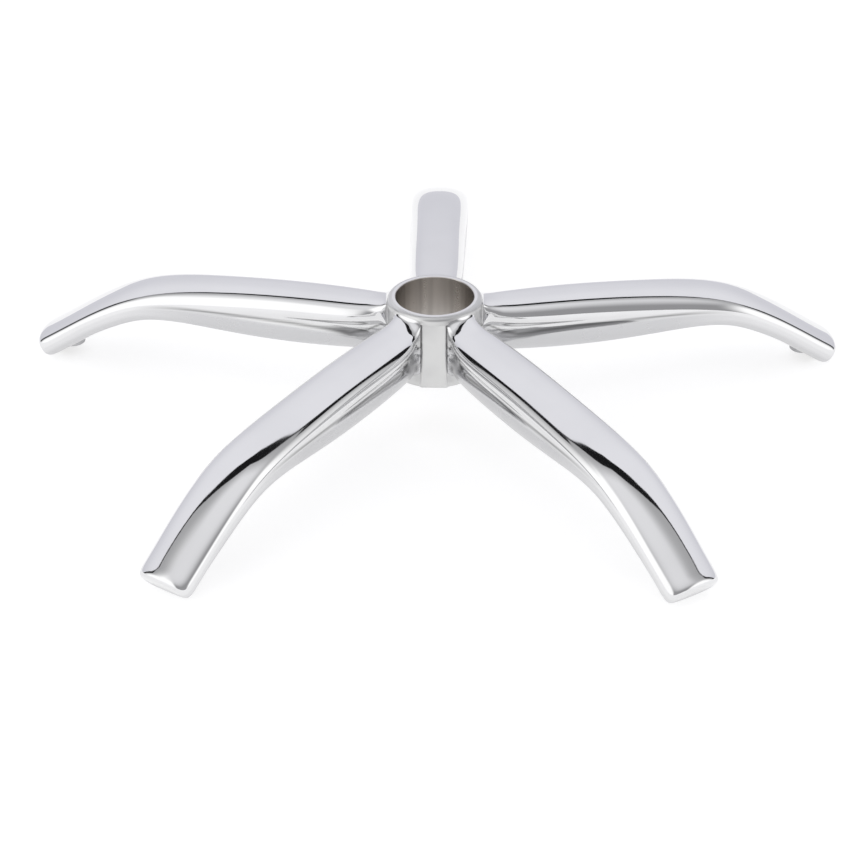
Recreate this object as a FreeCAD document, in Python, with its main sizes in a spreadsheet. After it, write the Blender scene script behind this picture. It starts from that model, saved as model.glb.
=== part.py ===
import FreeCAD, Part
import math
import os
import Sketcher
from FreeCAD import Placement, Rotation, Vector

# Five star base of an office chair: one polished die casting with a tapered
# hub for the gas column, five swan shaped arms and a caster socket at each tip.
# The hub axis is Z, the first arm points along +Y and the row's origin is the
# gauge plane of the hub bore, where its cylindrical mouth meets the taper.

os.makedirs("parts", exist_ok=True)
doc = FreeCAD.newDocument("chair_base")
dims = doc.addObject("Spreadsheet::Sheet", "dims")


# Driving dimensions in millimetres and degrees

SIZES = [
    ("bore_diameter", 50.0),
    ("bore_land", 8.0),
    ("mouth_chamfer", 1.0),
    ("foot_chamfer", 1.0),
    ("taper_ratio", 20.0),
    ("hub_height", 51.0),
    ("stand_height", 87.7),
    ("rim_diameter", 60.5),
    ("rim_band", 5.5),
    ("rim_bevel", 0.7),
    ("barrel_diameter", 57.0),
    ("foot_ring_diameter", 58.6),
    ("foot_ring_height", 4.0),
    ("foot_ring_slope", 2.0),
    ("pad_width", 16.5),
    ("pad_rise", 0.7),
    ("pad_seat", 2.0),
    ("arm_count", 5.0),
    ("roof_wall", 4.5),
    ("side_wall", 4.2),
    ("core_reach", 8.0),
    ("long_rib_thickness", 3.0),
    ("cross_rib_thickness", 2.8),
    ("rib_recess", 5.0),
    ("rib_bite", 1.5),
    ("boss_diameter", 16.4),
    ("boss_radius_from_axis", 254.5),
    ("boss_face_height", 8.0),
    ("boss_depth_in_nose", 9.0),
    ("spotface_diameter", 17.4),
    ("socket_diameter", 11.2),
    ("socket_depth", 15.2),
    ("cut_clearance", 1.0),
]

# Arm stations: how far the top line has come on its way from the hub axis to the
# boss axis in percent, its height above the floor, the tilt of the section, its
# depth, its half width, the depth of the flank groove, its level as a share of the
# depth, its spread, how much the lower bead is narrower than the top and how
# square the lower corners are
STATIONS = [
    ("root", 7.9, 82.0, 0.0, 35.0, 12.6, 6.6, 0.50, 0.25, 0.10, 3.0),
    ("neck", 12.2, 81.0, 0.0, 34.4, 13.4, 6.2, 0.51, 0.22, 0.10, 3.0),
    ("shoulder", 17.3, 79.9, 1.0, 34.8, 15.8, 4.6, 0.56, 0.18, 0.12, 3.0),
    ("inner", 25.1, 79.0, 2.5, 36.0, 17.6, 3.0, 0.61, 0.15, 0.12, 3.0),
    ("waist", 36.1, 77.5, 4.0, 36.2, 18.2, 1.8, 0.64, 0.13, 0.10, 3.2),
    ("middle", 47.9, 75.1, 5.5, 34.0, 18.6, 0.9, 0.66, 0.13, 0.05, 3.4),
    ("crest", 59.7, 71.8, 8.5, 29.4, 19.0, 0.2, 0.66, 0.13, 0.0, 3.6),
    ("bend", 70.7, 67.5, 14.0, 24.2, 19.3, 0.0, 0.66, 0.13, -0.03, 4.0),
    ("drop", 80.2, 60.8, 23.0, 20.8, 19.4, 0.0, 0.66, 0.13, -0.05, 4.2),
    ("slope", 88.8, 49.8, 30.0, 19.4, 19.4, 0.0, 0.66, 0.13, -0.05, 4.0),
    ("ankle", 97.05, 36.0, 34.0, 18.6, 19.2, 0.0, 0.66, 0.13, -0.04, 3.6),
]

STATION_WORDS = [
    "progress",
    "height",
    "tilt",
    "depth",
    "half_width",
    "groove",
    "groove_level",
    "groove_spread",
    "pinch",
    "corner",
]

# Nose stations repeat the ankle's line; each gives its distance past the ankle
# along the arm, the shrink of its half width, its depth and how far its top sinks
NOSE_TILT = 35.5
NOSE = [
    ("nose_a", 15.0, 0.990, 19.2, 0.0),
    ("nose_b", 26.0, 0.970, 19.2, 0.0),
    ("nose_c", 31.0, 0.935, 19.0, 0.2),
    ("nose_d", 33.6, 0.870, 17.8, 1.0),
    ("nose_e", 34.9, 0.770, 15.6, 2.4),
    ("nose_f", 35.4, 0.620, 12.2, 4.4),
]
NOSE_HALF_WIDTH = 19.3
NOSE_CORNER = 2.9
NOSE_PINCH = -0.02

TOP_EXPONENT = 2.35
SECTION_POINTS = 24

# The hollow and its cross ribs have a flat roof with sloping shoulders: the roof's
# share of the width and the shoulders' fall as a share of the half width
CORE_ROOF = 0.62
CORE_SHOULDER = 0.36
CORE_STATIONS = [station[0] for station in STATIONS[2:]]

# Places of the cross ribs, counted as the stations are
CROSS_RIBS = [30.6, 46.4, 62.1, 77.8]


def fill_sheet():
    """Write every driving dimension into the sheet under its own name."""
    row = 1
    for alias, value in SIZES:
        dims.set("A%d" % row, alias)
        dims.set("B%d" % row, "%g" % value)
        dims.setAlias("B%d" % row, alias)
        row += 1
    for station in STATIONS:
        for word, value in zip(STATION_WORDS, station[1:]):
            alias = "%s_%s" % (station[0], word)
            dims.set("A%d" % row, alias)
            dims.set("B%d" % row, "%g" % value)
            dims.setAlias("B%d" % row, alias)
            row += 1
    doc.recompute()


def size(alias):
    """Read one driving dimension from the sheet."""
    return float(dims.get(alias))


def evenly_spaced(outline):
    """Section points at even steps along a closed outline, which is given as a function."""
    dense = [outline(-math.pi / 2 + 2 * math.pi * index / 720) for index in range(721)]
    travelled = [0.0]
    for first, second in zip(dense, dense[1:]):
        travelled.append(travelled[-1] + (second - first).Length)
    points = []
    place = 0
    for index in range(SECTION_POINTS):
        target = travelled[-1] * index / SECTION_POINTS
        while travelled[place + 1] < target:
            place += 1
        share = (target - travelled[place]) / (travelled[place + 1] - travelled[place])
        points.append(dense[place] + (dense[place + 1] - dense[place]) * share)
    return points


def rounded(value, power):
    """One coordinate of a superellipse: a cosine or sine drawn towards its corners."""
    return math.copysign(abs(value) ** power, value)


def section_points(depth, half_width, pinch, corner, groove=(0.0, 0.5, 1.0)):
    """Points of an arm section, from its lowest point round, in the section's own plane."""
    groove_depth, groove_level, groove_spread = groove

    def outline(angle):
        power = 2 / (TOP_EXPONENT if math.sin(angle) >= 0 else corner)
        across = half_width * rounded(math.cos(angle), power)
        up = -depth / 2 + depth / 2 * rounded(math.sin(angle), power)
        level = -up / depth
        across *= 1 - pinch * level**2
        dip = groove_depth * math.exp(-(((level - groove_level) / groove_spread) ** 2))
        across -= math.copysign(min(dip, abs(across)), across)
        return Vector(across, up, 0)

    return evenly_spaced(outline)


def core_half_width(half_width, pinch, groove):
    """Half width of the hollow; the side wall keeps its thickness behind the flank groove."""
    return half_width * (1 - pinch) - groove - size("side_wall")


def core_corners(half_width, top, low):
    """Corners of the hollow across the arm: upright sides, sloping shoulders, flat roof."""
    roof = CORE_ROOF * half_width
    shoulder = top - CORE_SHOULDER * half_width
    right = [Vector(half_width, low, 0), Vector(half_width, shoulder, 0), Vector(roof, top, 0)]
    left = [Vector(-corner.x, corner.y, 0) for corner in reversed(right)]
    return right + left


def interpolate(progress, word):
    """A station value between two stations of the arm."""
    names = [station[0] for station in STATIONS]
    places = [size(name + "_progress") for name in names]
    before = max(index for index, place in enumerate(places[:-1]) if place <= progress)
    share = (progress - places[before]) / (places[before + 1] - places[before])
    first, second = [size(name + "_" + word) for name in names[before : before + 2]]
    return first + share * (second - first)


def closed_curve(points):
    """A smooth closed curve through the points, with the same steps in every section."""
    curve = Part.BSplineCurve()
    steps = [index / len(points) for index in range(len(points) + 1)]
    curve.interpolate(Points=points, Parameters=steps, PeriodicFlag=True)
    return [curve]


def closed_lines(corners):
    """Straight edges round the corners."""
    return [
        Part.LineSegment(first, second)
        for first, second in zip(corners, corners[1:] + corners[:1])
    ]


def origin_feature(body, role):
    """The body's own plane or axis with the given role."""
    return [item for item in body.Origin.OriginFeatures if item.Role == role][0]


def section_sketch(body, name, edges, reach, level, tilt):
    """A sketch across the arm; reach, level and tilt are expressions on the sheet."""
    sketch = body.newObject("Sketcher::SketchObject", name)
    sketch.AttachmentSupport = [(origin_feature(body, "XZ_Plane"), "")]
    sketch.MapMode = "FlatFace"
    sketch.AttachmentOffset = Placement(Vector(0, 0, 0), Rotation(Vector(-1, 0, 0), 1))
    sketch.setExpression("AttachmentOffset.Base.y", level)
    sketch.setExpression("AttachmentOffset.Base.z", "-(%s)" % reach)
    sketch.setExpression("AttachmentOffset.Rotation.Angle", tilt)
    sketch.addGeometry(edges, False)
    return sketch


def flat_sketch(body, name, role, rise="0"):
    """A sketch on one of the body's planes, lifted off it by an expression."""
    sketch = body.newObject("Sketcher::SketchObject", name)
    sketch.AttachmentSupport = [(origin_feature(body, role), "")]
    sketch.MapMode = "FlatFace"
    sketch.setExpression("AttachmentOffset.Base.z", rise)
    return sketch


def polygon(sketch, corners):
    """Close a polygon in the sketch; each corner is a pair of expressions on the sheet."""
    values = [Vector(evaluate(sketch, a), evaluate(sketch, b), 0) for a, b in corners]
    count = len(values)
    for index in range(count):
        sketch.addGeometry(Part.LineSegment(values[index], values[(index + 1) % count]), False)
    for index in range(count):
        sketch.addConstraint(
            Sketcher.Constraint("Coincident", index, 2, (index + 1) % count, 1)
        )
    for index, (across, along) in enumerate(corners):
        distance_to_origin(sketch, index, "DistanceX", values[index].x, across)
        distance_to_origin(sketch, index, "DistanceY", values[index].y, along)


def evaluate(sketch, text):
    """The present value of an expression on the sheet."""
    value = sketch.evalExpression(text)
    return float(getattr(value, "Value", value))


def distance_to_origin(sketch, index, kind, value, text):
    """Tie one coordinate of a line's start to its expression."""
    number = sketch.addConstraint(Sketcher.Constraint(kind, -1, 1, index, 1, value))
    sketch.setExpression("Constraints[%d]" % number, text)


def circle(sketch, across, along, radius):
    """A circle whose centre and radius follow expressions on the sheet."""
    x = evaluate(sketch, across)
    y = evaluate(sketch, along)
    ring = Part.Circle(Vector(x, y, 0), Vector(0, 0, 1), evaluate(sketch, radius))
    sketch.addGeometry(ring, False)
    for kind, value, text in (("DistanceX", x, across), ("DistanceY", y, along)):
        number = sketch.addConstraint(Sketcher.Constraint(kind, -1, 1, 0, 3, value))
        sketch.setExpression("Constraints[%d]" % number, text)
    number = sketch.addConstraint(Sketcher.Constraint("Radius", 0, evaluate(sketch, radius)))
    sketch.setExpression("Constraints[%d]" % number, radius)


def revolve(body, kind, name, sketch):
    """Turn a half profile in the XZ plane about the hub axis."""
    feature = body.newObject(kind, name)
    feature.Profile = sketch
    feature.ReferenceAxis = (sketch, ["V_Axis"])
    feature.Angle = 360
    sketch.Visibility = False
    return feature


fill_sheet()

base = doc.addObject("PartDesign::Body", "five_star_base")
base.Label = "five_star_base"
base.Placement = Placement(Vector(0, 0, 0), Rotation(0, 0, 0, 1))

# Levels in the row frame: the gauge plane is zero
TOP = "dims.bore_land + dims.mouth_chamfer"
FOOT = "(dims.bore_land + dims.mouth_chamfer - dims.hub_height)"
FLOOR = "(dims.bore_land + dims.mouth_chamfer - dims.stand_height)"

# Reach and level of a station's top line in the row frame
REACH = "dims.boss_radius_from_axis * dims.%s_progress / 100"
LEVEL = "dims.%s_height + " + FLOOR

# Hub: raised rim, barrel and foot ring, turned as one solid
hub_profile = flat_sketch(base, "hub_profile", "XZ_Plane")
rim_low = "(%s - dims.rim_band)" % TOP
ring_top = "(%s + dims.foot_ring_height)" % FOOT
polygon(
    hub_profile,
    [
        ("0", FOOT),
        ("dims.foot_ring_diameter / 2 - dims.rim_bevel", FOOT),
        ("dims.foot_ring_diameter / 2", "%s + dims.rim_bevel" % FOOT),
        ("dims.foot_ring_diameter / 2", ring_top),
        ("dims.barrel_diameter / 2", "%s + dims.foot_ring_slope" % ring_top),
        ("dims.barrel_diameter / 2", rim_low),
        ("dims.rim_diameter / 2", rim_low),
        ("dims.rim_diameter / 2", "%s - dims.rim_bevel" % TOP),
        ("dims.rim_diameter / 2 - dims.rim_bevel", TOP),
        ("0", TOP),
    ],
)
doc.recompute()
hub = revolve(base, "PartDesign::Revolution", "hub", hub_profile)
doc.recompute()

# One arm: sections across it from inside the hub to the blunt nose
arm_sections = []
for station in STATIONS:
    word = station[0]
    outline = closed_curve(
        section_points(
            size(word + "_depth"),
            size(word + "_half_width"),
            size(word + "_pinch"),
            size(word + "_corner"),
            [size(word + part) for part in ("_groove", "_groove_level", "_groove_spread")],
        )
    )
    arm_sections.append(
        section_sketch(
            base,
            "arm_" + word,
            outline,
            REACH % word,
            LEVEL % word,
            "dims.%s_tilt" % word,
        )
    )
for name, along, width_share, depth, sink in NOSE:
    outline = closed_curve(
        section_points(depth, NOSE_HALF_WIDTH * width_share, NOSE_PINCH, NOSE_CORNER)
    )
    out = along * math.cos(math.radians(NOSE_TILT)) - sink * math.sin(math.radians(NOSE_TILT))
    down = along * math.sin(math.radians(NOSE_TILT)) + sink * math.cos(math.radians(NOSE_TILT))
    arm_sections.append(
        section_sketch(
            base,
            "arm_" + name,
            outline,
            "%s + %.3f" % (REACH % "ankle", out),
            "%s - %.3f" % (LEVEL % "ankle", down),
            "%g" % NOSE_TILT,
        )
    )
doc.recompute()
arm = base.newObject("PartDesign::AdditiveLoft", "arm")
arm.Profile = arm_sections[0]
arm.Sections = arm_sections[1:]
arm.Ruled = False
arm.Closed = False
doc.recompute()

# Hollow under the roof of the arm, open downwards and closed before the nose
core_sections = []
for word in CORE_STATIONS:
    half_width = core_half_width(
        size(word + "_half_width"), size(word + "_pinch"), size(word + "_groove")
    )
    low = -size(word + "_depth") - size("core_reach")
    core_sections.append(
        section_sketch(
            base,
            "core_" + word,
            closed_lines(core_corners(half_width, -size("roof_wall"), low)),
            REACH % word,
            LEVEL % word,
            "dims.%s_tilt" % word,
        )
    )
doc.recompute()
core = base.newObject("PartDesign::SubtractiveLoft", "core")
core.Profile = core_sections[0]
core.Sections = core_sections[1:]
core.Ruled = False
core.Closed = False
doc.recompute()

# Stiffening ribs in the hollow: one along the arm and short ones across it
long_rib_sketch = flat_sketch(base, "long_rib_sketch", "YZ_Plane")
top_line = []
low_line = []
for word in CORE_STATIONS:
    lean = "(dims.%s_depth - dims.rib_recess)" % word
    tilt = "(dims.%s_tilt * 1deg)" % word
    top_line.append((REACH % word, LEVEL % word + " - dims.roof_wall + dims.rib_bite"))
    low_line.append(
        (
            "%s - %s * sin%s" % (REACH % word, lean, tilt),
            "%s - %s * cos%s" % (LEVEL % word, lean, tilt),
        )
    )
polygon(long_rib_sketch, top_line + low_line[::-1])
doc.recompute()
long_rib = base.newObject("PartDesign::Pad", "long_rib")
long_rib.Profile = long_rib_sketch
long_rib.Midplane = True
long_rib.setExpression("Length", "dims.long_rib_thickness")
doc.recompute()

rib_features = [long_rib]
for number, progress in enumerate(CROSS_RIBS, 1):
    half_width = core_half_width(
        interpolate(progress, "half_width"),
        interpolate(progress, "pinch"),
        interpolate(progress, "groove"),
    )
    rib_top = size("rib_bite") - size("roof_wall")
    rib_low = size("rib_recess") - interpolate(progress, "depth")
    rib_sketch = section_sketch(
        base,
        "cross_rib_sketch_%d" % number,
        closed_lines(core_corners(half_width + size("rib_bite"), rib_top, rib_low)),
        "dims.boss_radius_from_axis * %g / 100" % progress,
        "%g + %s" % (interpolate(progress, "height"), FLOOR),
        "%g" % interpolate(progress, "tilt"),
    )
    doc.recompute()
    rib = base.newObject("PartDesign::Pad", "cross_rib_%d" % number)
    rib.Profile = rib_sketch
    rib.Midplane = True
    rib.setExpression("Length", "dims.cross_rib_thickness")
    rib_features.append(rib)
doc.recompute()

# Caster boss: a round pad under the nose, faced flat round it, with a blind socket
boss_sketch = flat_sketch(base, "boss_sketch", "XY_Plane", "dims.boss_face_height + " + FLOOR)
circle(boss_sketch, "0", "dims.boss_radius_from_axis", "dims.boss_diameter / 2")
doc.recompute()
boss = base.newObject("PartDesign::Pad", "boss")
boss.Profile = boss_sketch
boss.setExpression("Length", "dims.boss_depth_in_nose")
face_sketch = flat_sketch(base, "spotface_sketch", "XY_Plane", "dims.boss_face_height + " + FLOOR)
circle(face_sketch, "0", "dims.boss_radius_from_axis", "dims.spotface_diameter / 2")
doc.recompute()
spotface = base.newObject("PartDesign::Pocket", "spotface")
spotface.Profile = face_sketch
spotface.setExpression("Length", "dims.boss_face_height + dims.cut_clearance")
doc.recompute()

socket_sketch = flat_sketch(base, "socket_sketch", "XY_Plane", "dims.boss_face_height + " + FLOOR)
circle(socket_sketch, "0", "dims.boss_radius_from_axis", "dims.socket_diameter / 2")
doc.recompute()
socket = base.newObject("PartDesign::Pocket", "socket")
socket.Profile = socket_sketch
socket.Reversed = True
socket.setExpression("Length", "dims.socket_depth")
doc.recompute()

# The finished arm is repeated round the hub axis
arms = base.newObject("PartDesign::PolarPattern", "arms")
arms.Originals = [arm, core] + rib_features + [boss, spotface, socket]
arms.Axis = (origin_feature(base, "Z_Axis"), [""])
arms.Angle = 360
arms.setExpression("Occurrences", "dims.arm_count")
base.Tip = arms
doc.recompute()

# Flat pads on the barrel between the arms
pad_sketch = flat_sketch(base, "pad_sketch", "XY_Plane", FOOT + " + dims.rim_bevel")
polygon(
    pad_sketch,
    [
        ("-dims.pad_width / 2", "-dims.barrel_diameter / 2 - dims.pad_rise"),
        ("dims.pad_width / 2", "-dims.barrel_diameter / 2 - dims.pad_rise"),
        ("dims.pad_width / 2", "dims.pad_seat - dims.barrel_diameter / 2"),
        ("-dims.pad_width / 2", "dims.pad_seat - dims.barrel_diameter / 2"),
    ],
)
doc.recompute()
pad = base.newObject("PartDesign::Pad", "pad")
pad.Profile = pad_sketch
pad.setExpression("Length", "dims.hub_height - dims.rim_band - dims.rim_bevel")
doc.recompute()
pads = base.newObject("PartDesign::PolarPattern", "pads")
pads.Originals = [pad]
pads.Axis = (origin_feature(base, "Z_Axis"), [""])
pads.Angle = 360
pads.setExpression("Occurrences", "dims.arm_count")
base.Tip = pads
doc.recompute()

# Hub bore: chamfered mouth, cylindrical land, then the taper that holds the column
bore_sketch = flat_sketch(base, "bore_sketch", "XZ_Plane")
mouth_radius = "dims.bore_diameter / 2 + dims.mouth_chamfer + dims.cut_clearance"
taper_foot = "dims.bore_diameter / 2 + %s / (2 * dims.taper_ratio)" % FOOT
polygon(
    bore_sketch,
    [
        ("0", TOP + " + dims.cut_clearance"),
        (mouth_radius, TOP + " + dims.cut_clearance"),
        ("dims.bore_diameter / 2", "dims.bore_land"),
        ("dims.bore_diameter / 2", "0"),
        (taper_foot, FOOT + " + dims.foot_chamfer"),
        (taper_foot + " + dims.foot_chamfer + dims.cut_clearance", FOOT + " - dims.cut_clearance"),
        ("0", FOOT + " - dims.cut_clearance"),
    ],
)
doc.recompute()
bore = revolve(base, "PartDesign::Groove", "bore", bore_sketch)
doc.recompute()

# The part is only written when every feature has computed and its solid is sound
for item in doc.Objects:
    if "Invalid" in item.State or "Error" in item.State:
        raise RuntimeError("%s is not computed: %s" % (item.Name, item.State))
    if hasattr(item, "Shape") and item.TypeId.startswith("PartDesign::"):
        if item.Shape.isNull() or not item.Shape.isValid():
            raise RuntimeError("%s has no valid shape" % item.Name)
shape = base.Shape
if len(shape.Solids) != 1:
    raise RuntimeError("the casting is not one solid")
shape.exportStep("parts/five_star_base.step")
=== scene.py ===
import logging
import math
from dataclasses import dataclass
from enum import Enum
from typing import NamedTuple, Sequence

import bmesh
import bpy
import numpy as np
from bpy.types import Material, Node, NodeSocket, NodeTree, Object
from mathutils import Matrix, Vector


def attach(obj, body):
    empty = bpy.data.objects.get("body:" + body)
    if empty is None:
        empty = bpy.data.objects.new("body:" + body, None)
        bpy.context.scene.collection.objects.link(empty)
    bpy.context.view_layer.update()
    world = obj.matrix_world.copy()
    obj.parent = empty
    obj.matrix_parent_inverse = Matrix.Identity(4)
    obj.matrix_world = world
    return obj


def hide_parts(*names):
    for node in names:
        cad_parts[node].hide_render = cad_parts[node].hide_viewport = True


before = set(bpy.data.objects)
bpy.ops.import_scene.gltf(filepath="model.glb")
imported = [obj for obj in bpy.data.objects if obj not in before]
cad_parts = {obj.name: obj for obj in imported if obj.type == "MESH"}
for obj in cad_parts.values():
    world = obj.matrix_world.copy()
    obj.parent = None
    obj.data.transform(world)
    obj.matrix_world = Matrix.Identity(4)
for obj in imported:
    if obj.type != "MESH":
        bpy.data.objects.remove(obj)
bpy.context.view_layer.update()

MM = 0.001
BODY = "root"
NODE = "five_star_base"

Color = tuple[float, float, float]
Range = tuple[float, float]

log = logging.getLogger("chair_base")


class Station(NamedTuple):
    """One section across the arm, in millimetres and degrees."""

    reach: float
    height: float
    tilt: float
    depth: float
    half_width: float
    groove: float
    groove_level: float
    groove_spread: float
    pinch: float
    corner: float
    crown: float


class Surface(Enum):
    """How a face of the casting is finished; the value is its material slot."""

    POLISHED = 0
    AS_CAST = 1
    MACHINED = 2
    SATIN = 3


class Cut(Enum):
    """What a tool mesh does to the mesh it meets."""

    REMOVE = "DIFFERENCE"
    ADD = "UNION"


@dataclass(frozen=True)
class CastingPlan:
    """What the hub and the arms share, in millimetres, with levels from the gauge plane."""

    bore_land: float = 8.0
    mouth_chamfer: float = 1.0
    hub_height: float = 51.0
    stand_height: float = 87.7
    barrel_radius: float = 28.5
    rim_radius: float = 30.25
    arm_count: int = 5

    @property
    def top(self) -> float:
        """Level of the hub's top face."""
        return self.bore_land + self.mouth_chamfer

    @property
    def foot(self) -> float:
        """Level of the hub's foot face."""
        return self.top - self.hub_height

    @property
    def floor(self) -> float:
        """Level from which the arms' heights are measured."""
        return self.top - self.stand_height


PLAN = CastingPlan()


def ease(share: np.ndarray) -> np.ndarray:
    """Soften both ends of a share from 0 to 1."""
    return share * share * (3 - 2 * share)


def signed_power(value: np.ndarray, power: float) -> np.ndarray:
    """Raise the size of each value to a power and keep its sign.

    Args:
        value: Sines or cosines round an outline.
        power: Exponent for the size.

    Returns:
        The drawn out values.
    """
    return np.sign(value) * np.abs(value) ** power


def even_steps(outline: np.ndarray, count: int) -> np.ndarray:
    """Spread points evenly along a closed outline.

    Args:
        outline: Dense points, with the first one repeated at the end.
        count: How many points to return.

    Returns:
        Points at even distances along the outline, from its first point.
    """
    lengths = np.linalg.norm(np.diff(outline, axis=0), axis=1)
    travelled = np.concatenate([[0.0], np.cumsum(lengths)])
    wanted = np.linspace(0.0, travelled[-1], count, endpoint=False)
    return np.stack([np.interp(wanted, travelled, outline[:, axis]) for axis in (0, 1)], axis=1)


def natural_spline(knots: np.ndarray, values: np.ndarray, wanted: np.ndarray) -> np.ndarray:
    """Smooth curve through a table's rows.

    Args:
        knots: Place of each row along the arm.
        values: One row of numbers for each knot.
        wanted: Places to read.

    Returns:
        One row of numbers for each wanted place.
    """
    count = len(knots)
    step = np.diff(knots)
    system = np.eye(count)
    right = np.zeros_like(values)
    for row in range(1, count - 1):
        system[row, row - 1] = step[row - 1]
        system[row, row] = 2 * (step[row - 1] + step[row])
        system[row, row + 1] = step[row]
        rise = (values[row + 1] - values[row]) / step[row]
        right[row] = 6 * (rise - (values[row] - values[row - 1]) / step[row - 1])
    bend = np.linalg.solve(system, right)
    place = np.clip(np.searchsorted(knots, wanted) - 1, 0, count - 2)
    width = step[place][:, None]
    past = (wanted - knots[place])[:, None]
    left = (knots[place + 1] - wanted)[:, None]
    curve = (bend[place] * left**3 + bend[place + 1] * past**3) / (6 * width)
    curve += (values[place] / width - bend[place] * width / 6) * left
    return curve + (values[place + 1] / width - bend[place + 1] * width / 6) * past


def turned_rings(profile: Sequence[tuple[float, float]], count: int) -> np.ndarray:
    """Level circles round the Z axis.

    Args:
        profile: Radius and level of each circle.
        count: How many points each circle has.

    Returns:
        One ring of points for each circle.
    """
    turn = np.linspace(0, 2 * math.pi, count, endpoint=False)
    rings = [(r * np.cos(turn), r * np.sin(turn), np.full(count, z)) for r, z in profile]
    return np.array(rings).transpose(0, 2, 1)


def new_mesh(name: str, points: np.ndarray, faces: Sequence[Sequence[int]]) -> Object:
    """Make a mesh object from points in millimetres.

    Args:
        name: Name of the object and its mesh.
        points: One row of x, y and z for each vertex.
        faces: Vertex numbers of each face.

    Returns:
        The new object, linked to the scene.
    """
    mesh = bpy.data.meshes.new(name)
    mesh.from_pydata((np.asarray(points) * MM).tolist(), [], [list(face) for face in faces])
    mesh.validate()
    built = bpy.data.objects.new(name, mesh)
    bpy.context.scene.collection.objects.link(built)
    work = bmesh.new()
    work.from_mesh(mesh)
    bmesh.ops.recalc_face_normals(work, faces=work.faces)
    work.to_mesh(mesh)
    work.free()
    return built


def skin_rings(rings: np.ndarray, closed: bool = False) -> list[list[int]]:
    """Quads between neighbouring rings, and end caps when the row of rings is open.

    Args:
        rings: Array of rings, each with the same number of points.
        closed: True where the last ring meets the first.

    Returns:
        Vertex numbers of each face, for the rings' points in one list.
    """
    count, around = rings.shape[:2]
    faces = []
    for ring in range(count if closed else count - 1):
        here = ring * around
        there = (ring + 1) % count * around
        for point in range(around):
            beside = (point + 1) % around
            faces.append([here + point, here + beside, there + beside, there + point])
    if not closed:
        faces.append(list(range(around))[::-1])
        faces.append([(count - 1) * around + point for point in range(around)])
    return faces


def ring_mesh(
    name: str,
    rings: np.ndarray,
    finishes: Sequence[Material],
    surface: Surface,
    closed: bool = False,
) -> Object:
    """Make an object from a row of rings, with every finish and one of them on all its faces.

    Args:
        name: Name of the object.
        rings: Array of rings, each with the same number of points.
        finishes: The casting's materials in the order of Surface.
        surface: Finish of all its faces for now.
        closed: True where the last ring meets the first.

    Returns:
        The new object.
    """
    built = new_mesh(name, rings.reshape(-1, 3), skin_rings(rings, closed))
    for finish in finishes:
        built.data.materials.append(finish)
    built.data.polygons.foreach_set("material_index", [surface.value] * len(built.data.polygons))
    return built


def combine(target: Object, tool: Object, cut: Cut) -> None:
    """Cut one mesh with another, or add it, and delete the tool.

    Args:
        target: The mesh that is changed.
        tool: The mesh that changes it.
        cut: Whether the tool's volume is removed or added.
    """
    modifier = target.modifiers.new("combine", "BOOLEAN")
    modifier.object = tool
    modifier.operation = cut.value
    modifier.solver = "EXACT"
    modifier.material_mode = "TRANSFER"
    depsgraph = bpy.context.evaluated_depsgraph_get()
    mesh = bpy.data.meshes.new_from_object(target.evaluated_get(depsgraph), depsgraph=depsgraph)
    target.modifiers.clear()
    spent = target.data
    target.data = mesh
    bpy.data.meshes.remove(spent)
    bpy.data.objects.remove(tool)


def smooth_shade(built: Object, angle: float) -> None:
    """Shade an object smoothly except across sharper edges, and store where it was made.

    Args:
        built: The object.
        angle: Sharpest edge that still shades smoothly, in degrees.
    """
    built.data.polygons.foreach_set("use_smooth", [True] * len(built.data.polygons))
    built.data.set_sharp_from_angle(angle=math.radians(angle))
    made_at = np.empty(len(built.data.vertices) * 3, dtype=np.float32)
    built.data.vertices.foreach_get("co", made_at)
    mark = built.data.attributes.new("made_at", "FLOAT_VECTOR", "POINT")
    mark.data.foreach_set("vector", made_at)


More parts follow.
